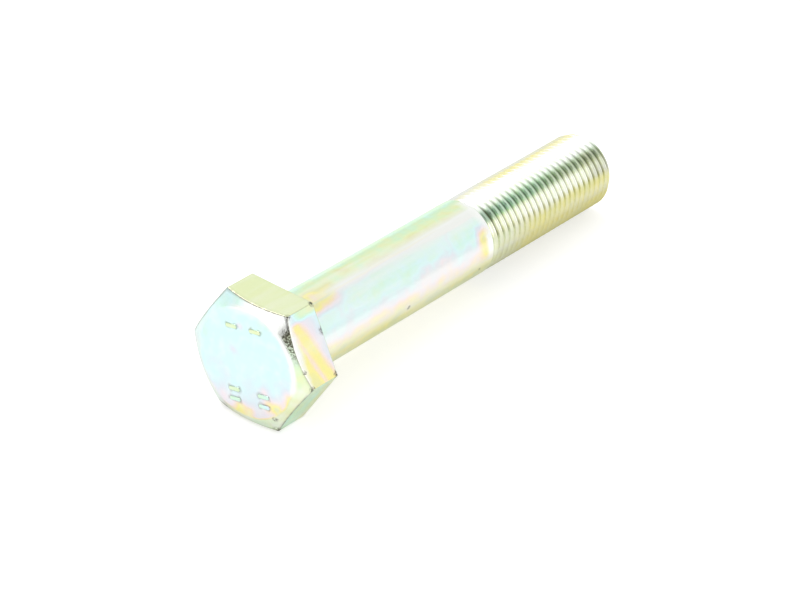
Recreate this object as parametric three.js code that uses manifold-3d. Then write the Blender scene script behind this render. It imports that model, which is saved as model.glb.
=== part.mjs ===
// Hex head bolt, M14 x 1.5, 85 mm under the head, threaded over its last 34 mm.
// A bolt is one piece of steel, forged and thread-rolled, so the group holds one mesh.
// Frame: millimetres, +Z up. The bolt's axis is the Y axis, with the thread's end at +Y.
// The origin is the centre of the head's flat top, and two wrench flats face +Z and -Z.
// The shapes below are made about the bearing face under the head, and the mesh is then moved along Y.

import * as THREE from "three";
import { ParametricGeometry } from "three/addons/geometries/ParametricGeometry.js";
import { mergeGeometries, mergeVertices } from "three/addons/utils/BufferGeometryUtils.js";
import Module from "manifold-3d";

// Head
const ACROSS_FLATS = 22;
const HEAD_HEIGHT = 8.5; // from the bearing face to the top of the head
const WASHER_FACE_HEIGHT = 0.5;
const WASHER_FACE_DIAMETER = 20.4;
const TOP_FACE_DIAMETER = 19.6; // the flat circle inside the chamfer
const CHAMFER_ANGLE = THREE.MathUtils.degToRad(30);

// Shank
const LENGTH = 85; // from the bearing face to the thread's end
const SHANK_DIAMETER = 13.9;
const FILLET_RADIUS = 0.7; // where the shank meets the head
const BLANK_DIAMETER = 13.0; // what the shank is reduced to before the thread is rolled
const BLANK_TAPER = 0.6; // length of the cone between the two diameters

// Thread, 60 degree metric profile, right-handed
const THREAD_DIAMETER = 13.85;
const PITCH = 1.5;
const THREAD_LENGTH = 34; // at full depth, up to the end
const THREAD_DEPTH = 0.6134 * PITCH;
const CREST_WIDTH = PITCH / 8;
const RUN_OUT = 1.4; // length before that over which the first turn gets deeper
const CREST_OFFSET = 0.57; // from a crest's edge at +X to where the full depth starts
const TIP_CHAMFER = 0.9;
const THREAD_SEGMENTS = 24; // steps in one turn
const ROUND_SEGMENTS = 48; // steps round a turned shape

// Plain raised dashes on the top face, in rows that are turned a little against the flats
const DASH_RAISE = 0.2;
const DASH_TURN = THREE.MathUtils.degToRad(11);
const DASH = { width: 2.4, height: 0.8, corner: 0.39 };
// Each row's height over the head's centre, and how far its two dashes are from the middle
const DASH_ROWS = [
  { along: 6.2, across: 2.5 },
  { along: -5.3, across: 3.1 },
  { along: -7.1, across: 3.1 },
];

// Worked out from the dimensions above
const CORNER_RADIUS = ACROSS_FLATS / 2 / Math.cos(Math.PI / 6);
const SHANK_RADIUS = SHANK_DIAMETER / 2;
const BLANK_RADIUS = BLANK_DIAMETER / 2;
const CREST_RADIUS = THREAD_DIAMETER / 2;
const ROOT_RADIUS = CREST_RADIUS - THREAD_DEPTH;
const THREAD_START = LENGTH - THREAD_LENGTH;
const BLANK_START = THREAD_START - RUN_OUT;
const INSIDE = 1; // how far shapes reach into each other before they are joined

const wasm = await Module();
wasm.setup();

// The solid that a closed geometry bounds.
function solid(geometry) {
  const bare = geometry.index ? geometry : mergeVertices(geometry);
  bare.deleteAttribute("normal");
  bare.deleteAttribute("uv");
  const merged = mergeVertices(bare, 1e-3);
  return new wasm.Manifold(
    new wasm.Mesh({
      numProp: 3,
      vertProperties: merged.attributes.position.array,
      triVerts: new Uint32Array(merged.index.array),
    }),
  );
}

// A solid turned round the Y axis. The outline runs from the axis to the axis, as [radius, y].
function turned(outline, segments = ROUND_SEGMENTS) {
  const points = outline.map(([radius, y]) => new THREE.Vector2(radius, y));
  return solid(new THREE.LatheGeometry(points, segments));
}

// A point at an angle round the Y axis, right-handed.
function around(radius, y, angle, target = new THREE.Vector3()) {
  return target.set(radius * Math.cos(angle), y, -radius * Math.sin(angle));
}

// The hexagon with its top corners cut by the chamfer cone, on the round washer face.
function head() {
  const hexagonHeight = HEAD_HEIGHT - WASHER_FACE_HEIGHT;
  const prism = new THREE.CylinderGeometry(CORNER_RADIUS, CORNER_RADIUS, hexagonHeight, 6);
  prism.rotateY(Math.PI / 6);
  prism.translate(0, -WASHER_FACE_HEIGHT - hexagonHeight / 2, 0);
  const topRadius = TOP_FACE_DIAMETER / 2;
  const wide = CORNER_RADIUS + INSIDE;
  const chamferHeight = (wide - topRadius) * Math.tan(CHAMFER_ANGLE);
  const chamfer = turned([
    [0, -HEAD_HEIGHT],
    [topRadius, -HEAD_HEIGHT],
    [wide, chamferHeight - HEAD_HEIGHT],
    [wide, INSIDE],
    [0, INSIDE],
  ]);
  const washerFace = turned([
    [0, -WASHER_FACE_HEIGHT - INSIDE],
    [WASHER_FACE_DIAMETER / 2, -WASHER_FACE_HEIGHT - INSIDE],
    [WASHER_FACE_DIAMETER / 2, 0],
    [0, 0],
  ]);
  return solid(prism).intersect(chamfer).add(washerFace);
}

// The plain shank: fillet, full diameter, cone, then the blank that the thread's first turns leave.
function shank() {
  const filletSteps = 4;
  const outline = [
    [0, -INSIDE],
    [SHANK_RADIUS + FILLET_RADIUS, -INSIDE],
  ];
  for (let step = 0; step <= filletSteps; step++) {
    const angle = (step / filletSteps) * (Math.PI / 2);
    outline.push([
      SHANK_RADIUS + FILLET_RADIUS * (1 - Math.sin(angle)),
      FILLET_RADIUS * (1 - Math.cos(angle)),
    ]);
  }
  outline.push(
    [SHANK_RADIUS, BLANK_START - BLANK_TAPER],
    [BLANK_RADIUS, BLANK_START],
    [ROOT_RADIUS - THREAD_DEPTH / 4, THREAD_START],
    [0, THREAD_START],
  );
  return turned(outline);
}

// A fan of triangles from a centre to a curve, given as a function of 0 to 1.
function fan(centre, curve, segments) {
  const rim = new THREE.Vector3();
  const surface = (u, v, target) => target.lerpVectors(centre, curve(u, rim), v);
  return new ParametricGeometry(surface, segments, 1);
}

// The thread as one ribbon, one pitch wide, wound round the axis edge to edge and closed at each end.
function threadRibbon() {
  const flank = THREAD_DEPTH * Math.tan(Math.PI / 6);
  const profile = [
    [CREST_RADIUS, 0],
    [CREST_RADIUS, CREST_WIDTH],
    [ROOT_RADIUS, CREST_WIDTH + flank],
    [ROOT_RADIUS, PITCH - flank],
    [CREST_RADIUS, PITCH],
  ];
  const turns = Math.ceil(THREAD_LENGTH / PITCH) + 4;
  const start = THREAD_START - CREST_OFFSET - 2 * PITCH;
  const steps = profile.length - 1;
  const edge = (turn, acrossRibbon, target) => {
    const [radius, y] = profile[Math.round(acrossRibbon * steps)];
    return around(radius, start + y + turn * PITCH, turn * 2 * Math.PI, target);
  };
  const bottom = new THREE.Vector3(0, start, 0);
  const top = new THREE.Vector3(0, start + (turns + 1) * PITCH, 0);
  return solid(
    mergeGeometries([
      new ParametricGeometry((u, v, t) => edge(u * turns, v, t), turns * THREAD_SEGMENTS, steps),
      fan(bottom, (u, t) => edge(u, 0, t), THREAD_SEGMENTS),
      fan(bottom, (u, t) => edge(0, 1 - u, t), steps),
      fan(top, (u, t) => edge(turns - u, 1, t), THREAD_SEGMENTS),
      fan(top, (u, t) => edge(turns, u, t), steps),
    ]),
  );
}

// The ribbon trimmed to the thread's length, with its first turns rising and its tip chamfered.
function thread() {
  return threadRibbon().intersect(
    turned([
      [0, BLANK_START - BLANK_TAPER / 2],
      [BLANK_RADIUS, BLANK_START - BLANK_TAPER / 2],
      [BLANK_RADIUS, BLANK_START],
      [CREST_RADIUS + 0.01, BLANK_START + RUN_OUT / 2],
      [CREST_RADIUS + 0.01, LENGTH - TIP_CHAMFER],
      [CREST_RADIUS - TIP_CHAMFER, LENGTH],
      [0, LENGTH],
    ]),
  );
}

// A raised shape on the top face, drawn in the XY plane and stood on the head's top.
function raised(shape, across, along) {
  const geometry = new THREE.ExtrudeGeometry(shape, {
    depth: DASH_RAISE + INSIDE,
    bevelEnabled: false,
    curveSegments: 4,
  });
  geometry.translate(across, along, -INSIDE);
  geometry.rotateZ(DASH_TURN);
  geometry.rotateX(Math.PI / 2);
  geometry.translate(0, -HEAD_HEIGHT, 0);
  return solid(geometry);
}

function roundedRectangle({ width, height, corner }) {
  const right = width / 2;
  const top = height / 2;
  const shape = new THREE.Shape();
  shape.absarc(right - corner, top - corner, corner, 0, Math.PI / 2);
  shape.absarc(corner - right, top - corner, corner, Math.PI / 2, Math.PI);
  shape.absarc(corner - right, corner - top, corner, Math.PI, 1.5 * Math.PI);
  shape.absarc(right - corner, corner - top, corner, 1.5 * Math.PI, 2 * Math.PI);
  return shape;
}

// Two dashes in every row, one on each side of the middle.
function dashes() {
  const outline = roundedRectangle(DASH);
  return DASH_ROWS.flatMap(({ along, across }) => [
    raised(outline, -across, along),
    raised(outline, across, along),
  ]);
}

function bolt() {
  const pieces = [shank(), thread(), ...dashes()];
  const joined = pieces.reduce((whole, piece) => whole.add(piece), head());
  const { vertProperties, triVerts } = joined.getMesh();
  const geometry = new THREE.BufferGeometry();
  geometry.setAttribute("position", new THREE.BufferAttribute(vertProperties, 3));
  geometry.setIndex(new THREE.BufferAttribute(triVerts, 1));
  geometry.computeVertexNormals();
  const zincPlate = new THREE.MeshStandardMaterial({
    color: 0xdde6d6,
    roughness: 0.28,
    metalness: 0.95,
  });
  const mesh = new THREE.Mesh(geometry, zincPlate);
  mesh.name = "hex_bolt";
  mesh.position.y = HEAD_HEIGHT;
  return mesh;
}

const part = new THREE.Group();
part.add(bolt());

export default part;
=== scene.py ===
# A zinc-plated hex bolt lying on a white light table.
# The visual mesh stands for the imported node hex_bolt, in the same frame: the bolt's axis is Y, the flat
# top of the head is at y = 0, the thread ends at +Y, and two wrench flats face +Z and -Z.
# Lengths are millimetres until the mesh is made, and then metres.

import math

import bmesh
import bpy
import numpy as np
from mathutils import Matrix, Vector
from mathutils.geometry import delaunay_2d_cdt


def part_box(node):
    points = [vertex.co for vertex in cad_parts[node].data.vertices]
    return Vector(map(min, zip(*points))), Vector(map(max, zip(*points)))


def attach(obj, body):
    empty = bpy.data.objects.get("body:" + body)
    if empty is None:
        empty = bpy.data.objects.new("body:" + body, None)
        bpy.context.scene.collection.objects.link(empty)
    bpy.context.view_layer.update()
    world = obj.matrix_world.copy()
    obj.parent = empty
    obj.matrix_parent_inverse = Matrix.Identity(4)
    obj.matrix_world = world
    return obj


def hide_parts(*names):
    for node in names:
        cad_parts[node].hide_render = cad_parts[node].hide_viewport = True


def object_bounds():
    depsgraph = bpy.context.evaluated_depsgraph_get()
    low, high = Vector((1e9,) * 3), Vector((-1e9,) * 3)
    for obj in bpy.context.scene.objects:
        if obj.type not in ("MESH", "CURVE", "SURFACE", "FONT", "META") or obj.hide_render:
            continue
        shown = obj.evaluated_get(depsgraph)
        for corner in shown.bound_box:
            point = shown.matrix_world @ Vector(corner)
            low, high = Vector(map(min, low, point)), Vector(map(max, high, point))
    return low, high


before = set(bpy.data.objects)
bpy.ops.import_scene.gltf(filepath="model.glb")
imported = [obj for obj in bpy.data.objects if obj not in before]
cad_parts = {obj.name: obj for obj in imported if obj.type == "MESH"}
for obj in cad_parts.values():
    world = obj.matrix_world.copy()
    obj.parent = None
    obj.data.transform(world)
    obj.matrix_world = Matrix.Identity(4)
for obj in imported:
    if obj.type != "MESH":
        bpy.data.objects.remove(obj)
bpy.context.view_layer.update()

MM = 0.001
BOLT_LOW, BOLT_HIGH = (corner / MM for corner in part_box("hex_bolt"))

# Head
ACROSS_FLATS = BOLT_HIGH.z - BOLT_LOW.z
HEAD_HEIGHT = 8.5
WASHER_FACE_HEIGHT = 0.5
WASHER_FACE_RADIUS = 10.2
TOP_RADIUS = 9.8
CHAMFER = math.radians(30)
CORNER_ROUNDING = 0.3
EDGE_ROUNDING = 0.2
TOP_ROUNDING = 0.35
HEX_BACK = HEAD_HEIGHT - WASHER_FACE_HEIGHT

# Shank
END = BOLT_HIGH.y
SHANK_RADIUS = 6.95
FILLET_RADIUS = 0.7
BLANK_RADIUS = 6.5

# Thread, right-handed
PITCH = 1.5
THREAD_LENGTH = 34
THREAD_START = END - THREAD_LENGTH
THREAD_RADIUS = 6.925
THREAD_DEPTH = 0.6134 * PITCH
CREST_WIDTH = PITCH / 8
RUN_OUT = 1.4
BLANK_START = THREAD_START - RUN_OUT
TIP_CHAMFER = 0.9
TAPER_LENGTH = 0.6

# Raised dashes on the head: three rows of two, each dash a rounded rectangle
MARK_RAISE = -BOLT_LOW.y
MARK_TURN = math.radians(11)
MARK_ROWS = [(2.5, 6.2), (3.1, -5.3), (3.1, -7.1)]
MARK_SIZE = (2.4, 0.8, 0.39)  # width, height and corner radius
MARKS = [(side * across, along, *MARK_SIZE) for across, along in MARK_ROWS for side in (-1, 1)]

# The camera: its angles in degrees, its distance from the middle of the bolt's box and its sidestep to
# the right and up in metres, and its lens in millimetres
AZIMUTH = 35.37
ELEVATION = 31.37
ROLL = 5.6
DISTANCE = 0.5761
SIDESTEP = (-0.00397, -0.00681)
LENS = 151.4


def smooth_min(a, b, blend):
    """The smaller of two values, with the corner between them rounded."""
    overlap = np.maximum(blend - np.abs(a - b), 0) / blend
    return np.minimum(a, b) - overlap * overlap * blend / 4


def smooth_max(a, b, blend):
    """The larger of two values, with the corner between them rounded."""
    return -smooth_min(-a, -b, blend)


def smooth_step(low, high, value):
    """0 at low and 1 at high, with a smooth rise between them. With low over high it falls instead."""
    t = np.clip((value - low) / (high - low), 0, 1)
    return t * t * (3 - 2 * t)


def window(value, start, full, fading, end):
    """1 from full to fading, and 0 before start and after end."""
    return smooth_step(start, full, value) * smooth_step(end, fading, value)


def bezier(start, control, end, steps):
    """Points on a quadratic curve, both ends included. They are (radius, y) pairs of numbers or arrays."""
    points = []
    for t in np.linspace(0, 1, steps + 1):
        weights = ((1 - t) ** 2, 2 * t * (1 - t), t * t)
        points.append(
            tuple(weights[0] * a + weights[1] * b + weights[2] * c for a, b, c in zip(start, control, end))
        )
    return points


def line(start, end, steps):
    """Points between two (radius, y) pairs, without the first."""
    return [
        tuple(a + (b - a) * step / steps for a, b in zip(start, end)) for step in range(1, steps + 1)
    ]


def place_in_scene(name, data):
    thing = bpy.data.objects.new(name, data)
    bpy.context.scene.collection.objects.link(thing)
    return thing


# ---------------------------------------------------------------- the mesh

# Steps round half a sector of the hexagon, and how strongly they crowd together at its corner
HALF_SECTOR_STEPS = 16
CORNER_CROWDING = 2.2

# Steps along the outline of the head and the shank
BEND_STEPS = 4
CHAMFER_STEPS = 5
FLAT_STEPS = 12
BACK_STEPS = 3
WASHER_BEND_STEPS = 3
WASHER_FACE_STEPS = 2
FILLET_STEPS = 5
SHANK_STEPS = 60

# Edges that bend by more than this are shaded sharp
SHARP_ANGLE = math.radians(50)

# The zones that a vertex's coating depends on
ZONE_TOP, ZONE_MARK_EDGE, ZONE_CHAMFER, ZONE_FLATS, ZONE_BACK, ZONE_SHANK, ZONE_THREAD = range(7)


def column_angles():
    """The angles of one turn, crowded together at the hexagon's six corners."""
    offsets = 30 * (np.arange(HALF_SECTOR_STEPS + 1) / HALF_SECTOR_STEPS) ** CORNER_CROWDING
    sector = np.concatenate([-offsets[:0:-1], offsets[:-1]])
    turn = np.concatenate([60 * corner + sector for corner in range(6)])
    return np.radians(turn - turn[0])


ANGLES = column_angles()
COLUMNS = len(ANGLES)
# The first column is in the middle of a flat, 30 degrees before a corner
FIRST_ANGLE = math.radians(-30)


def from_corner(angles):
    """How far each angle is from the nearest corner of the hexagon."""
    sixth = math.pi / 3
    return np.abs((angles + sixth / 2) % sixth - sixth / 2)


def hexagon_radius(angles):
    """The hexagon's outline with its corners rounded."""
    off = from_corner(angles)
    flat = ACROSS_FLATS / 2 / np.cos(math.pi / 6 - off)
    centre = (ACROSS_FLATS / 2 - CORNER_ROUNDING) / math.cos(math.pi / 6)
    inside = np.maximum(CORNER_ROUNDING**2 - (centre * np.sin(off)) ** 2, 0)
    arc = centre * np.cos(off) + np.sqrt(inside)
    arc_end = math.atan2(CORNER_ROUNDING / 2, centre + CORNER_ROUNDING * math.cos(math.pi / 6))
    return np.where(off < arc_end, arc, flat)


def head_rings():
    """Rings from the flat top of the head to the fillet under it, as (radius, y) and zone pairs."""
    hexagon = hexagon_radius(FIRST_ANGLE + ANGLES)
    edge = (hexagon - TOP_RADIUS) * math.tan(CHAMFER)
    down = (math.cos(CHAMFER), math.sin(CHAMFER))
    top_bend = bezier(
        (TOP_RADIUS - TOP_ROUNDING, 0),
        (TOP_RADIUS, 0),
        (TOP_RADIUS + TOP_ROUNDING * down[0], TOP_ROUNDING * down[1]),
        BEND_STEPS,
    )
    front_bend = bezier(
        (hexagon - EDGE_ROUNDING * down[0], edge - EDGE_ROUNDING * down[1]),
        (hexagon, edge),
        (hexagon, edge + EDGE_ROUNDING),
        BEND_STEPS,
    )
    back_bend = bezier(
        (hexagon, HEX_BACK - EDGE_ROUNDING),
        (hexagon, HEX_BACK),
        (hexagon - EDGE_ROUNDING, HEX_BACK),
        BEND_STEPS,
    )
    washer_bend = bezier(
        (WASHER_FACE_RADIUS, HEAD_HEIGHT - EDGE_ROUNDING),
        (WASHER_FACE_RADIUS, HEAD_HEIGHT),
        (WASHER_FACE_RADIUS - EDGE_ROUNDING, HEAD_HEIGHT),
        WASHER_BEND_STEPS,
    )
    half_bend = BEND_STEPS // 2
    chamfer = top_bend + line(top_bend[-1], front_bend[0], CHAMFER_STEPS)[:-1] + front_bend[:half_bend]
    flats = front_bend[half_bend:] + line(front_bend[-1], back_bend[0], FLAT_STEPS)[:-1] + back_bend[:1]
    back = back_bend[1:] + line(back_bend[-1], (WASHER_FACE_RADIUS, HEX_BACK), BACK_STEPS) + washer_bend
    back += line(washer_bend[-1], (SHANK_RADIUS + FILLET_RADIUS, HEAD_HEIGHT), WASHER_FACE_STEPS)
    zones = ((ZONE_CHAMFER, chamfer), (ZONE_FLATS, flats), (ZONE_BACK, back))
    return [(ring, zone) for zone, rings in zones for ring in rings]


def shank_rings():
    """Rings along the fillet and the plain shank, up to just before the spiral rows."""
    rings = []
    for turn in np.linspace(0, math.pi / 2, FILLET_STEPS + 1)[1:]:
        radius = SHANK_RADIUS + FILLET_RADIUS * (1 - math.sin(turn))
        rings.append((radius, HEAD_HEIGHT + FILLET_RADIUS * (1 - math.cos(turn))))
    return rings + line(rings[-1], (SHANK_RADIUS, SPIRAL_START - SPIRAL_GAP), SHANK_STEPS)


# Rows of the thread's mesh from the middle of a crest to the middle of a root, closest where it bends
HALF_PITCH_ROWS = (0, 0.06, 0.11, 0.3, 0.5, 0.555, 0.625)
ROWS_PER_PITCH = 2 * len(HALF_PITCH_ROWS)
FLANK_ANGLE = math.radians(30)
# How far before the blank the thread starts to rise, and how softly its surfaces meet
RISE_LENGTH = 0.2
CREST_BLEND = 0.1
ROOT_BLEND = 0.2
TIP_BLEND = 0.25
END_BLEND = 0.3
# The rows start on the plain shank and end past the flat end, which flattens the last ones. A gap is
# left between them and the rings on each side.
SPIRAL_START = THREAD_START - 2 * PITCH - 0.6
SPIRAL_END = END + 1.0
SPIRAL_GAP = 0.4
END_RINGS = 6
END_DISH = 0.04


def row_offsets():
    """Where the rows of one pitch lie."""
    half = np.array([*HALF_PITCH_ROWS, PITCH / 2])
    return np.concatenate([half[:-1], PITCH - half[:0:-1]])


def thread_depth(along):
    """How far the thread's surface is under the crest, at a distance along the axis from a crest."""
    off = np.abs((along + PITCH / 2) % PITCH - PITCH / 2)
    flank = smooth_max((off - CREST_WIDTH / 2) / math.tan(FLANK_ANGLE), 0.0, CREST_BLEND)
    return np.maximum(smooth_min(flank, THREAD_DEPTH, ROOT_BLEND), 0)


def spiral_rows():
    """Rows that follow the thread's helix from the plain shank to the flat end: (radius, y) arrays."""
    turns = math.ceil((SPIRAL_END - SPIRAL_START) / PITCH)
    starts = np.concatenate([SPIRAL_START + turn * PITCH + row_offsets() for turn in range(turns)])
    advance = PITCH * ANGLES[None, :] / (2 * math.pi)
    along = starts[:, None] + advance
    outside = THREAD_RADIUS - thread_depth(along - SPIRAL_START - advance)
    rise = smooth_step(BLANK_START - RISE_LENGTH, THREAD_START, along)
    taper = smooth_step(BLANK_START - TAPER_LENGTH, BLANK_START, along)
    plain = SHANK_RADIUS + (BLANK_RADIUS - SHANK_RADIUS) * taper
    chamfer = THREAD_RADIUS + END - TIP_CHAMFER - along
    radius = smooth_min(plain + (outside - plain) * rise, chamfer, TIP_BLEND)
    return list(zip(radius, smooth_min(along, END, END_BLEND)))


class Builder:
    """Collects vertices and faces. Every vertex also has a zone, which its colour depends on."""

    def __init__(self):
        self.points = []
        self.zones = []
        self.faces = []

    def add(self, points, zone):
        first = len(self.points)
        self.points.extend(points)
        self.zones.extend([zone] * len(points))
        return list(range(first, first + len(points)))

    def ring(self, ring, zone):
        radius, y = (np.broadcast_to(value, COLUMNS) for value in ring)
        angles = FIRST_ANGLE + ANGLES
        points = np.stack([radius * np.cos(angles), y, -radius * np.sin(angles)], axis=1)
        return self.add(points.tolist(), zone)

    def bridge(self, lower, upper, closed=True):
        """Faces between two loops of equal length."""
        count = len(lower)
        for i in range(count if closed else count - 1):
            j = (i + 1) % count
            self.faces.append((lower[i], upper[i], upper[j], lower[j]))


def add_turned(builder):
    """The head's sides, the shank and the thread, from the rim of the flat top to the end's centre."""
    rings = [builder.ring(ring, zone) for ring, zone in head_rings()]
    rings += [builder.ring(ring, ZONE_SHANK) for ring in shank_rings()]
    for lower, upper in zip(rings, rings[1:]):
        builder.bridge(lower, upper)
    rows = [builder.ring(row, ZONE_THREAD) for row in spiral_rows()]
    for lower, upper in zip(rows, rows[1:]):
        builder.bridge(lower, upper, closed=False)
    # The last column meets the first one a pitch further on
    for row in range(len(rows) - ROWS_PER_PITCH - 1):
        ahead = row + ROWS_PER_PITCH
        builder.faces.append((rows[row][-1], rows[row + 1][-1], rows[ahead + 1][0], rows[ahead][0]))
    builder.bridge(rings[-1], rows[0], closed=False)
    seam = [rows[row][0] for row in range(ROWS_PER_PITCH + 1)]
    builder.faces.append((rings[-1][-1], rows[0][-1], *reversed(seam), rings[-1][0]))
    end_radius = THREAD_RADIUS + END - TIP_CHAMFER - SPIRAL_END - PITCH - SPIRAL_GAP
    inner = builder.ring((end_radius, END), ZONE_THREAD)
    builder.bridge(rows[-1], inner, closed=False)
    seam = [rows[row][-1] for row in range(-ROWS_PER_PITCH - 1, 0)]
    builder.faces.append((rows[-1][0], *seam, inner[-1], inner[0]))
    for t in np.linspace(0, 1, END_RINGS + 1)[1:-1]:
        dish = END_DISH * math.sin(t * math.pi / 2) ** 2
        ring = builder.ring((end_radius * (1 - t), END - dish), ZONE_THREAD)
        builder.bridge(inner, ring)
        inner = ring
    builder.faces.append(tuple(reversed(inner)))
    return rings[0]


# A mark's levels, each drawn in from its outline by some millimetres and raised by a part of the whole
MARK_LEVELS = [(0.0, 0.0), (0.03, 0.35), (0.09, 0.75), (0.16, 0.94), (0.24, 1.0)]
MARK_EDGE_LEVELS = 2
MARK_CORNER_POINTS = 7
# How far apart the points of the flat top's triangles are
TOP_GRID = 0.5
TOLERANCE = 1e-4
DELAUNAY_TOLERANCE = 1e-6


def rounded_rectangle(width, height, corner, inset):
    """A loop of points, counter-clockwise, drawn in from the outline by inset."""
    right = width / 2 - corner
    top = height / 2 - corner
    reach = corner - inset
    loop = []
    for quarter, (x, z) in enumerate([(right, top), (-right, top), (-right, -top), (right, -top)]):
        for angle in np.linspace(0, math.pi / 2, MARK_CORNER_POINTS) + quarter * math.pi / 2:
            loop.append((x + reach * math.cos(angle), z + reach * math.sin(angle)))
    return loop


def turned_mark(mark, inset, raise_by):
    """One level of a mark, as points on or over the head's flat top."""
    across, along, width, height, corner = mark
    points = []
    for x, z in rounded_rectangle(width, height, corner, inset):
        x += across
        z += along
        turned_x = x * math.cos(MARK_TURN) - z * math.sin(MARK_TURN)
        turned_z = x * math.sin(MARK_TURN) + z * math.cos(MARK_TURN)
        points.append((turned_x, -raise_by, turned_z))
    return points


def add_mark(builder, mark):
    """A raised mark with soft shoulders. Returns the loop where it meets the flat top."""
    levels = []
    for number, (inset, part) in enumerate(MARK_LEVELS):
        zone = ZONE_MARK_EDGE if number < MARK_EDGE_LEVELS else ZONE_TOP
        levels.append(builder.add(turned_mark(mark, inset, part * MARK_RAISE), zone))
    for lower, upper in zip(levels, levels[1:]):
        builder.bridge(upper, lower)
    builder.faces.append(tuple(levels[-1]))
    return levels[0]


def inside_a_mark(point):
    """Whether a point of the flat top is inside the outline of any mark."""
    for across, along, width, height, corner in MARKS:
        local = Matrix.Rotation(-MARK_TURN, 2) @ point - Vector((across, along))
        x = max(abs(local.x) - width / 2 + corner, 0)
        z = max(abs(local.y) - height / 2 + corner, 0)
        if math.hypot(x, z) < corner - TOLERANCE:
            return True
    return False


def grid_points(radius, outline):
    """A triangular grid of points within a radius, clear of the outline and of the marks."""
    steps = int(radius / TOP_GRID) + 1
    for i in range(-steps, steps + 1):
        for k in range(-steps, steps + 1):
            point = Vector(((i + k % 2 / 2) * TOP_GRID, k * TOP_GRID * math.sqrt(3) / 2))
            if point.length < radius - TOP_GRID / 2:
                nearest = min((point - corner).length for corner in outline)
                if nearest > TOP_GRID / 3 and not inside_a_mark(point):
                    yield point


def add_top(builder, rim):
    """The flat top, cut out under the marks, and the marks on it."""
    loops = [add_mark(builder, mark) for mark in MARKS]
    used = list(rim)
    edges = [(i, (i + 1) % len(rim)) for i in range(len(rim))]
    for loop in loops:
        first = len(used)
        used.extend(loop)
        edges.extend((first + i, first + (i + 1) % len(loop)) for i in range(len(loop)))
    flat = [Vector((builder.points[v][0], builder.points[v][2])) for v in used]
    for point in list(grid_points(flat[0].length, flat)):
        used.extend(builder.add([(point.x, 0.0, point.y)], ZONE_TOP))
        flat.append(point)
    _, _, triangles, originals, _, _ = delaunay_2d_cdt(flat, edges, [], 0, DELAUNAY_TOLERANCE)
    back = [source[0] for source in originals]
    for triangle in triangles:
        corners = [back[v] for v in triangle]
        middle = sum((flat[v] for v in corners), Vector((0, 0))) / 3
        if not inside_a_mark(middle):
            builder.faces.append(tuple(used[v] for v in corners))


# ---------------------------------------------------------------- the coating's pattern

# Directions are degrees round the bolt's axis from +X to +Z. The film tables say how far through the
# film's tints a part is by direction, the bare tables how pale it is, partly from a thinner film and partly
# as painted highlight, and the shade tables how much painted shade darkens it.
CHAMFER_FILM = [
    (-180, 0.5), (-135, 0.42), (-118, 0.34), (-105, 0.1), (-90, -0.05), (-75, -0.22),
    (-60, -0.12), (-45, -0.04), (-15, -0.08), (0, -0.13), (15, -0.2), (35, -0.2),
    (54, -0.15), (60, 0.6), (105, 0.62), (150, 0.6), (180, 0.5),
]
# The high values from 54 to 92 degrees are a painted highlight on the chamfer
CHAMFER_BARE_AND_HIGHLIGHT = [
    (-180, 0.35), (-135, 0.5), (-118, 0.6), (-105, 0.55), (-90, 0.75), (-75, 0.5),
    (-60, 0.5), (-30, 0.35), (0, 0.2), (15, 0.1), (30, 0.1), (48, 0.2), (54, 1.2),
    (92, 1.0), (105, 0.3), (120, 0.05), (150, 0.25), (180, 0.35),
]
SHANK_FILM = [
    (-180, 0.9), (-100, 1.0), (-43, 1.03), (-10, 1.07), (-1, 1.17), (10, 1.3), (18, 1.44),
    (26, 1.52), (40, 1.62), (52, 1.64), (64, 1.6), (70, 1.5), (74, 0.97), (83, 0.92),
    (90, 0.9), (96, 0.87), (103, 0.83), (111, 0.76), (122, 0.72), (136, 0.68), (180, 0.9),
]
SHANK_BARE_AND_HIGHLIGHT = [
    (-180, 0.2), (-43, 0.0), (-28, 0.05), (-18, 0.22), (-10, 0.4), (-1, 0.45), (10, 0.32),
    (20, 0.42), (26, 0.42), (40, 0.3), (52, 0.3), (62, 0.6), (68, 0.95), (76, 0.95),
    (83, 0.4), (90, 0.15), (103, 0.0), (122, 0.1), (180, 0.2),
]
# Painted shade on the shank, by direction
SHANK_SHADE = [
    (-180, 0.1), (-38, 0.1), (-30, 0.02), (-12, 0.0), (0, 0.06), (20, 0.08), (32, 0.04),
    (56, 0.03), (66, 0.08), (80, 0.06), (90, 0.02), (180, 0.02),
]
THREAD_FILM = [
    (-180, 1.0), (-90, 1.0), (-20, 1.05), (0, 1.05), (20, 1.02), (34, 0.95), (44, 0.88),
    (50, 0.77), (60, 0.74), (75, 0.8), (92, 1.0), (104, 1.08), (114, 1.08), (122, 1.04),
    (180, 1.0),
]
# The high values from 29 to 42 and from 70 to 99 degrees are painted highlight bands on the thread
THREAD_BARE_AND_HIGHLIGHT = [
    (-180, 0.2), (-30, 0.0), (8, 0.0), (20, 0.2), (29, 0.7), (42, 0.7), (50, 0.1),
    (62, 0.1), (70, 0.8), (92, 0.9), (99, 0.6), (104, 0.35), (114, 0.35), (120, 0.6),
    (135, 0.7), (180, 0.2),
]
# Painted shade on the thread, by direction, darkest on the lower side that faces the table
THREAD_SHADE = [
    (-180, 0.2), (-60, 0.3), (-38, 0.28), (-18, 0.2), (0, 0.12), (20, 0.08), (28, 0.0),
    (112, 0.0), (122, 0.12), (180, 0.2),
]
# The flat at +X +Z has slanted stripes: how far through the tints they are, by the distance across them
STRIPES = [
    (-0.4, 0.03), (-0.2, 0.08), (-0.09, 0.28), (0.02, 0.12), (0.2, 0.1), (0.3, 0.24),
    (0.42, 0.38), (0.8, 0.5),
]
# How dark the line along the edge between the chamfer and the flats is, by direction
FRONT_EDGE_DARKNESS = [
    (-180, 1.0), (-70, 0.9), (-30, 0.7), (0, 0.6), (30, 0.4), (55, 0.6), (65, 1.2),
    (120, 1.2), (150, 0.8), (180, 0.8),
]
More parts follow.
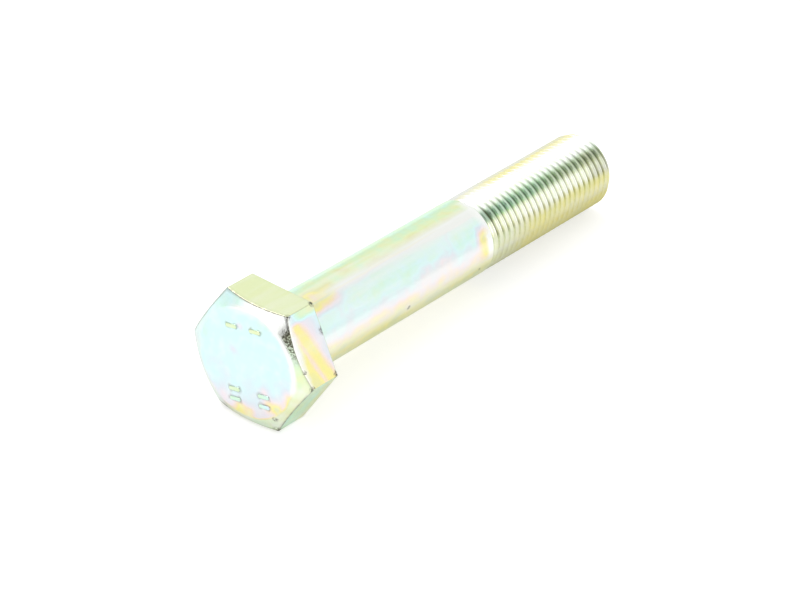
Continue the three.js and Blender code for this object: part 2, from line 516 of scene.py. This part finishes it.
# Nicks and rubbed spots: the place in millimetres and the radius
NICKS = [
    (6.35, 1.7, 11.0, 0.8),
    (6.3, 7.7, 10.9, 0.7),
    (8.7, 8.0, 6.9, 1.0),
    (12.6, 7.9, 0.2, 1.0),
    (12.6, 1.7, 0.0, 0.7),
    (11.1, 1.2, 2.8, 0.5),
    (6.4, 1.6, -10.9, 1.3),
    (6.6, 0.3, -7.9, 0.7),
    (-4.5, 1.2, -10.9, 0.9),
    (6.9, 34.0, -1.0, 0.5),
    (6.6, 54.2, -2.0, 0.35),
]
# Windows of direction, each as the degrees where it starts, is full, starts to fade and ends
# A painted highlight along the rim of the head's flat top
HIGHLIGHT_RIM = (-20, 0, 95, 130)
# A painted dark reflection on the chamfer
DARK_PATCH_PLACE = (18, 42, 48, 57)
LOWER_EDGE = (-150, -110, -40, 10)
OLIVE_PATCH = (46, 64, 84, 100)
YELLOW_RING = (-14, 4, 30, 56)
# A painted highlight ring on the shank by the thread
HIGHLIGHT_RING = (-12, 8, 92, 104)
# The dark band is a painted dark reflection on the thread. The next five are painted shade in the roots,
# painted shade over the yellow band, painted light in the grooves, painted shade on the last turns, and
# painted light from bounced light.
DARK_BAND = (40, 50, 60, 70)
SHADED_ROOTS = (13, 24, 66, 84)
YELLOW_BAND = (-24, -6, 14, 26)
PALE_GROOVES = (-24, -4, 6, 17)
SHADED_TIP = (16, 26, 56, 66)
BOUNCED_LIGHT = (-60, -40, -16, -6)
# Fades along the axis, each from the y where it is nothing to the y where it is full
OLIVE_PATCH_FADE = (23, 14)
YELLOW_RING_FADE = (BLANK_START - 5.5, BLANK_START - 3.0)
HIGHLIGHT_RING_FADE = (BLANK_START - 2.5, BLANK_START - 1.5)
THREADED_FADE = (BLANK_START - 0.7, BLANK_START)
RUN_OUT_FADE = (THREAD_START + 1.3, THREAD_START - 0.2)
FIRST_TURNS_FADE = (THREAD_START + 11.5, THREAD_START + 1.5)
SHADED_TIP_FADE = (END - 7.5, END - 4.5)
ROOTS_FADE = (END - 0.4, END - 1.0)
TIP_FADE = (END - 1.1, END - 0.5)
# Fades over the radius, in the same way
TOP_RIM_FADE = (6.5, TOP_RADIUS)
MOTTLED_RIM_FADE = (7.5, TOP_RADIUS)
DARK_PATCH_FADE = (9.9, 10.6)
END_FACE_FADE = (6.1, 5.3)
# Fades over the thread's depth, which is 0 on the crests and 1 at the roots
CREST_FADE = (0.2, 0.05)
ROOT_FADE = (0.66, 0.84)
# How far round the film's tints turn on the upper flanks, in degrees
FLANK_LEAN = 11
# Where the lilac spot on the shank has its middle: y and direction
LILAC_SPOT = (43, 26)
# Where the film on the head's top is thinner: x, z, radius, and how far the tint goes back
TOP_SPOTS = [
    (-2.0, 6.3, 0.8, 0.2),
    (-2.9, 1.4, 0.7, 0.1),
    (4.0, -3.6, 0.8, 0.14),
    (5.2, -5.7, 1.3, 0.28),
    (7.0, -5.7, 1.0, 0.36),
    (-0.6, -8.9, 1.1, 0.36),
    (1.4, -8.7, 0.9, 0.24),
    (9.4, -2.8, 1.1, 0.3),
]


def by_direction(table, degrees):
    return np.interp(degrees, *zip(*table))


def towards(values, target, amount):
    """The values moved part of the way to a target."""
    return values + amount * (target - values)


def round_the_axis(x, z):
    """The distance from the axis, and the direction in degrees."""
    return np.hypot(x, z), np.degrees(np.arctan2(z, x))


def top_film(x, z):
    """The film on the head's top, thinner towards its lower edge and in a few spots."""
    radius, degrees = round_the_axis(x, z)
    rim = smooth_step(*TOP_RIM_FADE, radius)
    film = 0.53 + 0.007 * z - 0.001 * x - 0.12 * rim * window(degrees, *LOWER_EDGE)
    for spot_x, spot_z, reach, back in TOP_SPOTS:
        film -= back * np.exp(-((x - spot_x) ** 2 + (z - spot_z) ** 2) / reach**2)
    return film


def head_end_coating(x, y, z):
    """The head's flat top, the marks on it and the chamfer round it."""
    radius, degrees = round_the_axis(x, z)
    on_chamfer = smooth_step(TOP_RADIUS - TOP_ROUNDING, TOP_RADIUS + TOP_ROUNDING, radius)
    film = towards(top_film(x, z), by_direction(CHAMFER_FILM, degrees), on_chamfer)
    bare = towards(0.03, by_direction(CHAMFER_BARE_AND_HIGHLIGHT, degrees), on_chamfer)
    # A painted highlight along the rim of the flat top, on the upper and +X side
    highlight_rim = 1.25 * window(degrees, *HIGHLIGHT_RIM) * smooth_step(0.5, 0.2, np.abs(radius - TOP_RADIUS))
    # A painted dark reflection on the chamfer, broken into grain by specks in the material
    dark_patch_mask = window(degrees, *DARK_PATCH_PLACE) * smooth_step(*DARK_PATCH_FADE, radius)
    beside_the_bright_part = np.abs(degrees - 75) > 30
    return {
        "film": film + 0.3 * smooth_step(0.02, 0.6, -y / MARK_RAISE),
        "mottle": 0.05 + 0.05 * smooth_step(*MOTTLED_RIM_FADE, radius),
        "bare": np.maximum(bare, highlight_rim) + 0.3 * dark_patch_mask,
        # Painted shade: a little over the flat top, on the chamfer away from its bright part, and more
        # under the painted dark reflection
        "shade": towards(0.055, 0.04 * beside_the_bright_part, on_chamfer) + 0.35 * dark_patch_mask,
        "dark_patch": dark_patch_mask,
    }


def flats_coating(x, y, z):
    """The six flats. Each has a tint of its own, and the one at +X +Z has stripes and a pale front."""
    degrees = round_the_axis(x, z)[1]
    # The flats are numbered by direction: the lower one is 1, the striped one 3 and the upper one 4
    number = np.clip(np.floor(degrees / 60).astype(int) + 3, 0, 5)
    upper = np.abs(degrees - 90) < 30
    # How far down the flat at +X +Z a point is and how far back, from 0 to 1
    down = 0.5 - (z * math.cos(math.pi / 6) - x * math.sin(math.pi / 6)) / (ACROSS_FLATS / math.sqrt(3))
    back = np.clip((y - 1.0) / (HEX_BACK - 1.0), 0, 1)
    stripes = by_direction(STRIPES, back - 0.68 * down)
    stripes += 0.42 * smooth_step(0.19, 0.1, down + 0.05 * back)
    # The pale front is a painted highlight along the flat's front edge
    pale_front = 0.02 + 0.93 * smooth_step(0.22, 0.04, back)
    lower = 0.73 + 0.15 * smooth_step(0.55, 0.8, back) + 0.1 * smooth_step(-0.3, 0.6, back - x / 12)
    return {
        "film": np.choose(number, [0.7, 0.95, lower, stripes, 0.9, 0.66]),
        "mottle": np.select([upper, degrees < 0], [0.01, 0.12], 0.06),
        "bare": np.choose(number, [0.2, 0.2, 0.12, pale_front, 0.1, 0.2]),
        # Painted shade: a little on the upper flat, more on the two flats beyond 120 degrees at the sides
        "shade": np.select([upper, np.abs(degrees) > 120], [0.035, 0.22], 0.0),
    }


def shank_coating(x, y, z):
    """The plain shank: bands along it, a patch by the head, and a yellow ring and a ring of painted
    highlight by the thread.
    """
    degrees = round_the_axis(x, z)[1]
    film = by_direction(SHANK_FILM, degrees)
    bare = by_direction(SHANK_BARE_AND_HIGHLIGHT, degrees)
    spot_y, spot_degrees = LILAC_SPOT
    film -= 0.1 * smooth_step(6, 2, np.abs(y - spot_y)) * smooth_step(18, 6, np.abs(degrees - spot_degrees))
    near_head = 0.82 * smooth_step(*OLIVE_PATCH_FADE, y) * window(degrees, *OLIVE_PATCH)
    bare *= 1 - near_head
    film = np.where(film < 1.2, towards(film, 1.12, near_head), film - 0.62 * near_head)
    yellow = smooth_step(*YELLOW_RING_FADE, y) * window(degrees, *YELLOW_RING)
    film = towards(film, 1.15, yellow)
    bare = towards(bare, 0.15, yellow)
    # A ring of painted highlight on the taper before the thread
    highlight_ring = smooth_step(*HIGHLIGHT_RING_FADE, y) * window(degrees, *HIGHLIGHT_RING)
    return {
        "film": film,
        "mottle": 0.12,
        "streak": 0.08,
        "bare": towards(bare, 1.1, highlight_ring),
        # Painted shade by direction, none under the highlight ring
        "shade": by_direction(SHANK_SHADE, degrees) * (1 - highlight_ring),
    }


def thread_coating(x, y, z):
    """The thread, its end, and the last of the plain shank, which the thread's rows start on."""
    radius, degrees = round_the_axis(x, z)
    depth = np.clip((THREAD_RADIUS - radius) / THREAD_DEPTH, 0, 1)
    crest = smooth_step(*CREST_FADE, depth)
    root = smooth_step(*ROOT_FADE, depth) * smooth_step(*ROOTS_FADE, y)
    along = smooth_step(THREAD_START, END, y)
    first_turns = smooth_step(*FIRST_TURNS_FADE, y)
    lower = smooth_step(26, 16, degrees)
    band = window(degrees, *DARK_BAND)
    leaning = degrees - FLANK_LEAN * depth * smooth_step(84, 96, degrees)
    # The pale grooves are painted light in the roots on the lower front side
    pale_groove = depth * window(degrees, *PALE_GROOVES)

    film = by_direction(THREAD_FILM, leaning) + band * (0.14 * along - 0.04)
    film -= 0.1 * first_turns * lower
    film += 0.05 * crest * smooth_step(24, 12, degrees)

    bare = by_direction(THREAD_BARE_AND_HIGHLIGHT, leaning) + 0.25 * pale_groove
    bare += first_turns * (0.4 * smooth_step(98, 106, degrees) + 0.25 * lower)

    # Painted shade: more on the lower side, in the roots on the upper front side, on the crests, over the
    # yellow band, the dark band and the first groove, and on the last turns. The bounced light and the pale
    # grooves take painted light off it.
    shade = by_direction(THREAD_SHADE, degrees) + 0.85 * root * window(degrees, *SHADED_ROOTS)
    shade += crest * (0.1 * smooth_step(24, 12, degrees) + 0.2 * band)
    shade += 0.09 * window(degrees, *YELLOW_BAND)
    shade += band * (0.12 * along + 0.42 * smooth_step(*RUN_OUT_FADE, y))
    shade += (0.24 - 0.14 * band) * smooth_step(*SHADED_TIP_FADE, y) * window(degrees, *SHADED_TIP)
    shade -= 0.06 * window(degrees, *BOUNCED_LIGHT)
    shade *= 1 - 0.8 * pale_groove

    plain = shank_coating(x, y, z)
    threaded = smooth_step(*THREADED_FADE, y)
    film = towards(plain["film"], film, threaded)
    bare = towards(plain["bare"], bare, threaded)
    shade = towards(plain["shade"], shade, threaded)
    # Painted shade on the last millimetre before the tip
    shade += smooth_step(*TIP_FADE, y) * (0.06 + 0.14 * smooth_step(14, 30, degrees))
    end_face = smooth_step(*END_FACE_FADE, radius) * (y > END - 0.5)
    return {
        "film": towards(film, 0.98, end_face),
        "mottle": 0.04,
        "streak": 0.09 * (1 - threaded),
        "bare": towards(bare, 0.35, end_face),
        "shade": towards(shade, 0.06, end_face),
    }


# The coating's values where none of the functions above gives one
PLAIN_COATING = {"film": 0.9, "mottle": 0.1, "streak": 0.0, "bare": 0.1, "shade": 0.0, "dark_patch": 0.0}
COATINGS = {
    ZONE_TOP: head_end_coating,
    ZONE_MARK_EDGE: head_end_coating,
    ZONE_CHAMFER: head_end_coating,
    ZONE_FLATS: flats_coating,
    ZONE_SHANK: shank_coating,
    ZONE_THREAD: thread_coating,
}


def coating(points, zones):
    """Values at each vertex for the coating's material.

    film is how far through the tints the passivation film is, mottle and streak are how much it varies
    in blotches and in lines along the axis, and shade is how much painted shade darkens it. The others say
    how pale it is, partly from a thinner film and partly as painted highlight; where a painted dark
    reflection with grain lies on the chamfer; and where darker lines run along the head's edges, with
    painted shade round the feet of the marks.
    """
    values = {name: np.full(len(points), plain) for name, plain in PLAIN_COATING.items()}
    for zone, zone_coating in COATINGS.items():
        here = zones == zone
        for name, found in zone_coating(*points[here].T).items():
            values[name][here] = found
    values["shade"] = np.clip(values["shade"], 0, 1)
    # Darker lines along the head's edges, and painted shade round the feet of the raised marks
    values["dark_edges"] = edge_darkening(*points.T) + 0.45 * (zones == ZONE_MARK_EDGE)
    return values


def edge_darkening(x, y, z):
    """How dark the lines along the head's edges are, falling to 0 within a fraction of a millimetre of
    them.
    """
    angles = np.arctan2(z, x)
    radius, degrees = round_the_axis(x, z)
    hexagon = hexagon_radius(angles)
    outside = smooth_step(0.4, 0.0, hexagon - radius)
    front = np.abs(y - 0.03 - (hexagon - TOP_RADIUS) * math.tan(CHAMFER))
    front_edge_dark = by_direction(FRONT_EDGE_DARKNESS, degrees) * smooth_step(0.21, 0.05, front)
    back_edge_dark = 0.8 * smooth_step(0.2, 0.02, np.abs(y - HEX_BACK))
    corner_edge_dark = 0.7 * smooth_step(0.2, 0.02, from_corner(angles) * radius + 0.1)
    edge_dark = outside * np.maximum(np.maximum(front_edge_dark, back_edge_dark), corner_edge_dark) * (y < HEX_BACK + 0.1)
    # A grey outline along the chamfer on its -X side
    left = np.maximum(smooth_step(100, 125, degrees), smooth_step(-98, -115, degrees))
    on_chamfer = y < (radius - TOP_RADIUS) * math.tan(CHAMFER) + 0.1
    return np.maximum(edge_dark, 0.5 * left * on_chamfer * smooth_step(0.5, 0.2, hexagon - radius))


def face_outwards(mesh):
    """Turn every face of a closed mesh so that its normal points out."""
    surface = bmesh.new()
    surface.from_mesh(mesh)
    bmesh.ops.recalc_face_normals(surface, faces=surface.faces)
    surface.to_mesh(mesh)
    surface.free()


def make_bolt():
    """The whole visual mesh, with the coating's values on its vertices."""
    builder = Builder()
    rim = add_turned(builder)
    add_top(builder, rim)
    points = np.array(builder.points)
    mesh = bpy.data.meshes.new("bolt_surface")
    mesh.from_pydata((points * MM).tolist(), [], builder.faces)
    for name, values in coating(points, np.array(builder.zones)).items():
        mesh.attributes.new(name, "FLOAT", "POINT").data.foreach_set("value", values.astype(np.float32))
    mesh.validate()
    face_outwards(mesh)
    mesh.shade_smooth()
    mesh.set_sharp_from_angle(angle=SHARP_ANGLE)
    return place_in_scene("bolt_surface", mesh)


# ---------------------------------------------------------------- materials


def srgb(red, green, blue):
    """A colour picked as 0 to 255 values, as the linear values that nodes take."""
    channels = []
    for value in (red, green, blue):
        value /= 255
        channels.append(value / 12.92 if value <= 0.04045 else ((value + 0.055) / 1.055) ** 2.4)
    return (*channels, 1)


# The tints of a clear passivation film as it gets thicker, once round
FILM_TINTS = [
    srgb(232, 232, 180),  # khaki
    srgb(250, 241, 160),  # yellow
    srgb(250, 231, 200),  # peach
    srgb(244, 231, 236),  # pink
    srgb(226, 234, 242),  # lilac
    srgb(217, 249, 250),  # cyan
    srgb(214, 249, 232),  # mint
    srgb(218, 245, 208),  # green
    srgb(232, 242, 194),  # yellow green
]
# Bare zinc, which also stands as the painted highlight where the film is made pale
BARE_ZINC_AND_HIGHLIGHT = srgb(248, 250, 246)
# The grey of the darker edge lines, and the dark of the nicks and of the painted dark reflection
EDGE_GREY = srgb(138, 136, 120)
DARK_SPECK = srgb(84, 82, 72)
# The olive grey that painted shade darkens the coating towards
PAINTED_SHADE_COLOUR = srgb(96, 98, 74)
METAL_TINT = (0.85, 0.9, 0.84, 1)

# Noise patterns, as repeats in a metre. The shank's are drawn out along the axis.
BLOTCHES = 300
STREAKS = 330
CLOUDS = 500
EDGE_SPOTS = 1300
GRAIN = 3000
SPECKS = 3600
DRAWN_OUT = (1, 0.1, 1)

# How a noise pattern is turned into a mask: what it is multiplied by, and what is then added
VARIATION = (4.0, -2.0)
THINNING = (1.2, -0.6)
EDGE_MASKING = (2.6, -0.35)
PATCH_SPECKLING = (9.0, -3.7)
NICKING = (10.0, -4.1)
GRAIN_ROUGHNESS = (0.12, 0.14)
BUMP_STRENGTH = 0.3
BUMP_DEPTH = 0.00003


class Nodes:
    """A short way to add nodes and link them."""

    def __init__(self, owner):
        owner.use_nodes = True
        self.tree = owner.node_tree
        self.tree.nodes.clear()

    def add(self, kind, inputs=None, **settings):
        node = self.tree.nodes.new(kind)
        for name, value in settings.items():
            setattr(node, name, value)
        for name, value in (inputs or {}).items():
            if isinstance(value, bpy.types.NodeSocket):
                self.tree.links.new(value, node.inputs[name])
            else:
                node.inputs[name].default_value = value
        return node

    def math(self, operation, *values):
        return self.add("ShaderNodeMath", dict(enumerate(values)), operation=operation).outputs[0]


def attribute(nodes, name):
    return nodes.add("ShaderNodeAttribute", attribute_name=name).outputs["Fac"]


def mix(nodes, factor, first, second):
    return nodes.add(
        "ShaderNodeMix", {0: factor, 6: first, 7: second}, data_type="RGBA", clamp_factor=True
    ).outputs[2]


def noise_texture(nodes, place, scale, detail, roughness=0.5):
    return nodes.add(
        "ShaderNodeTexNoise", {"Vector": place, "Scale": scale, "Detail": detail, "Roughness": roughness}
    ).outputs[0]


def film_ramp(nodes, phase):
    """The film's tint at a phase. The tints repeat as the phase passes each whole number."""
    ramp = nodes.add("ShaderNodeValToRGB", {"Fac": nodes.math("FRACT", phase)})
    elements = ramp.color_ramp.elements
    elements.remove(elements[1])
    elements[0].position = 0
    elements[0].color = FILM_TINTS[0]
    for number, tint in enumerate(FILM_TINTS[1:] + FILM_TINTS[:1], start=1):
        elements.new(number / len(FILM_TINTS)).color = tint
    return ramp.outputs[0]


def film_colour(nodes, place):
    """Bright zinc with the film over it, which comes and goes in clouds. Where the film is pale the zinc is
    partly a painted highlight.
    """
    drawn = nodes.add("ShaderNodeMapping", {"Vector": place, "Scale": DRAWN_OUT}).outputs[0]
    blotches = noise_texture(nodes, place, BLOTCHES, 2)
    streaks = noise_texture(nodes, drawn, STREAKS, 3, 0.55)
    phase = attribute(nodes, "film")
    for pattern, amount in ((blotches, "mottle"), (streaks, "streak")):
        varied = nodes.math("MULTIPLY_ADD", pattern, *VARIATION)
        phase = nodes.math("MULTIPLY_ADD", varied, attribute(nodes, amount), phase)
    clouds = nodes.math("MULTIPLY_ADD", noise_texture(nodes, drawn, CLOUDS, 2), *THINNING)
    whitening = nodes.math("ADD", attribute(nodes, "bare"), clouds)
    return mix(nodes, whitening, film_ramp(nodes, phase), BARE_ZINC_AND_HIGHLIGHT)


def marked_colour(nodes, place, colour):
    """A colour with the darker edge lines, the painted dark reflection with its grain, and the nicks over
    it.
    """
    # Darker lines along the head's edges, broken up by noise
    edge_mask = nodes.math("MULTIPLY_ADD", noise_texture(nodes, place, EDGE_SPOTS, 4, 0.7), *EDGE_MASKING)
    colour = mix(nodes, nodes.math("MULTIPLY", attribute(nodes, "dark_edges"), edge_mask), colour, EDGE_GREY)
    # The painted dark reflection on the chamfer, speckled into grain, and the nicks
    specks = noise_texture(nodes, place, SPECKS, 3, 0.7)
    griming = nodes.math("MULTIPLY_ADD", specks, *PATCH_SPECKLING)
    colour = mix(nodes, nodes.math("MULTIPLY", attribute(nodes, "dark_patch"), griming), colour, DARK_SPECK)
    nicking = nodes.math("MULTIPLY_ADD", specks, *NICKING)
    for x, y, z, reach in NICKS:
        centre = Vector((x, y, z)) * MM
        away = nodes.add("ShaderNodeVectorMath", {0: place, 1: centre}, operation="DISTANCE")
        near = nodes.math("MULTIPLY_ADD", away.outputs["Value"], -1 / (reach * MM), 1.0)
        near = nodes.math("MAXIMUM", near, 0.0)
        colour = mix(nodes, nodes.math("MULTIPLY", near, nicking), colour, DARK_SPECK)
    return colour


def zinc_plate():
    """Zinc plate under a clear passivation film that tints it like oil on water."""
    material = bpy.data.materials.new("zinc_plate")
    nodes = Nodes(material)
    place = nodes.add("ShaderNodeTexCoord").outputs["Object"]
    colour = marked_colour(nodes, place, film_colour(nodes, place))
    # Painted shade: the coating darkens towards an olive grey as far as the shade values say
    colour = mix(nodes, attribute(nodes, "shade"), colour, PAINTED_SHADE_COLOUR)
    grain = noise_texture(nodes, place, GRAIN, 3, 0.6)
    bump = nodes.add("ShaderNodeBump", {"Height": grain, "Strength": BUMP_STRENGTH, "Distance": BUMP_DEPTH})
    surface = nodes.add(
        "ShaderNodeBsdfPrincipled",
        {
            "Base Color": colour,
            "Metallic": 1.0,
            "Roughness": nodes.math("MULTIPLY_ADD", grain, *GRAIN_ROUGHNESS),
            "Specular Tint": METAL_TINT,
            "Normal": bump.outputs[0],
        },
    )
    nodes.add("ShaderNodeOutputMaterial", {"Surface": surface.outputs[0]})
    return material


# ---------------------------------------------------------------- the setting

WHITE = (1, 1, 1, 1)
TABLE_GREY = (0.6, 0.6, 0.6, 1)
TABLE_SIZE = 3.0
TABLE_GLOW = 0.36
TABLE_SEEN_GLOW = 0.2  # added to the glow for the camera alone, so that the table comes out white

# The studio's panels add to its even white: the direction each lies in, the degrees from there within
# which it is full and past which it is nothing, and how much light it adds
PANELS = [
    ((-0.33, -0.87, 0.4), 8, 25, 0.6),
    ((-0.4, 0.0, 0.9), 12, 27, 0.5),
    ((0.3, -0.95, 0.09), 4, 10, 0.7),
    ((0.88, 0.22, 0.42), 14, 26, 0.8),
]
# Two gaps near the head's end and a black flag over the thread, and the part of the light each takes
DARK_PLACES = [
    ((0.12, -0.99, 0.04), 4, 10, 0.3),
    ((0.15, -0.93, 0.34), 5.5, 10, 0.96),
    ((0.45, 0.23, 0.86), 10, 17, 0.96),
]
SOFTBOX_SIZE = 0.35
SOFTBOX_POWER = 1.2
SOFTBOX_PLACE = Vector((-0.3, 0.1, 0.45))


def make_floor():
    """A white light table that touches the head's lower edge and the thread's, so it slopes a little."""
    slope = (ACROSS_FLATS / 2 - THREAD_RADIUS) / (END - TIP_CHAMFER - HEX_BACK)
    corners = []
    for x, y in ((-1, -1), (1, -1), (1, 1), (-1, 1)):
        along = y * TABLE_SIZE
        height = -ACROSS_FLATS / 2 * MM + (along - HEX_BACK * MM) * slope
        corners.append((x * TABLE_SIZE, along, height))
    mesh = bpy.data.meshes.new("table")
    mesh.from_pydata(corners, [], [(0, 1, 2, 3)])
    material = bpy.data.materials.new("table")
    nodes = Nodes(material)
    lit = nodes.add("ShaderNodeBsdfDiffuse", {"Color": TABLE_GREY})
    seen = nodes.add("ShaderNodeLightPath").outputs["Is Camera Ray"]
    strength = nodes.math("MULTIPLY_ADD", seen, TABLE_SEEN_GLOW, TABLE_GLOW)
    glow = nodes.add("ShaderNodeEmission", {"Color": WHITE, "Strength": strength})
    both = nodes.add("ShaderNodeAddShader", {0: lit.outputs[0], 1: glow.outputs[0]})
    nodes.add("ShaderNodeOutputMaterial", {"Surface": both.outputs[0]})
    mesh.materials.append(material)
    place_in_scene("table", mesh)


def make_camera():
    azimuth, elevation, roll = (math.radians(angle) for angle in (AZIMUTH, ELEVATION, ROLL))
    back = Vector(
        (
            math.sin(azimuth) * math.cos(elevation),
            -math.cos(azimuth) * math.cos(elevation),
            math.sin(elevation),
        )
    )
    level = Vector((math.cos(azimuth), math.sin(azimuth), 0))
    right = math.cos(roll) * level + math.sin(roll) * back.cross(level)
    up = back.cross(right)
    low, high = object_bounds()
    place = (low + high) / 2 + DISTANCE * back + SIDESTEP[0] * right + SIDESTEP[1] * up
    data = bpy.data.cameras.new("camera")
    data.lens = LENS
    camera = place_in_scene("camera", data)
    turned = Matrix((right, up, back)).transposed().to_4x4()
    camera.matrix_world = Matrix.Translation(place) @ turned
    bpy.context.scene.camera = camera


def direction_glow(nodes, direction, toward, inner, outer):
    """1 near a direction, fading to 0 between two angles from it in degrees."""
    unit = Vector(toward).normalized()
    aligned = nodes.add("ShaderNodeVectorMath", {0: direction, 1: unit}, operation="DOT_PRODUCT")
    return nodes.add(
        "ShaderNodeMapRange",
        {
            "Value": aligned.outputs["Value"],
            "From Min": math.cos(math.radians(outer)),
            "From Max": math.cos(math.radians(inner)),
        },
        interpolation_type="SMOOTHSTEP",
    ).outputs[0]


def make_world():
    """A white studio with brighter panels and dark places. The camera itself sees plain white."""
    world = bpy.data.worlds.new("studio")
    bpy.context.scene.world = world
    nodes = Nodes(world)
    direction = nodes.add("ShaderNodeTexCoord").outputs["Generated"]
    strength = 1.0
    for toward, inner, outer, added in PANELS:
        glow = direction_glow(nodes, direction, toward, inner, outer)
        strength = nodes.math("MULTIPLY_ADD", glow, added, strength)
    for toward, inner, outer, taken in DARK_PLACES:
        dark = direction_glow(nodes, direction, toward, inner, outer)
        strength = nodes.math("MULTIPLY", strength, nodes.math("MULTIPLY_ADD", dark, -taken, 1.0))
    light = nodes.add("ShaderNodeBackground", {"Color": WHITE, "Strength": strength})
    seen = nodes.add("ShaderNodeBackground", {"Color": WHITE, "Strength": 1.0})
    camera_ray = nodes.add("ShaderNodeLightPath").outputs["Is Camera Ray"]
    mixed = nodes.add("ShaderNodeMixShader", {0: camera_ray, 1: light.outputs[0], 2: seen.outputs[0]})
    nodes.add("ShaderNodeOutputWorld", {"Surface": mixed.outputs[0]})


def make_lights():
    """One large soft lamp over the table, on the far side of the bolt, facing it."""
    data = bpy.data.lights.new("softbox", "AREA")
    data.shape = "DISK"
    data.size = SOFTBOX_SIZE
    data.energy = SOFTBOX_POWER
    facing = SOFTBOX_PLACE.to_track_quat("Z", "Y").to_matrix().to_4x4()
    place_in_scene("softbox", data).matrix_world = Matrix.Translation(SOFTBOX_PLACE) @ facing


bpy.context.scene.view_settings.view_transform = "Standard"
make_camera()
make_world()
make_lights()
make_floor()

bolt = make_bolt()
bolt.data.materials.append(zinc_plate())
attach(bolt, "root")
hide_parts("hex_bolt")
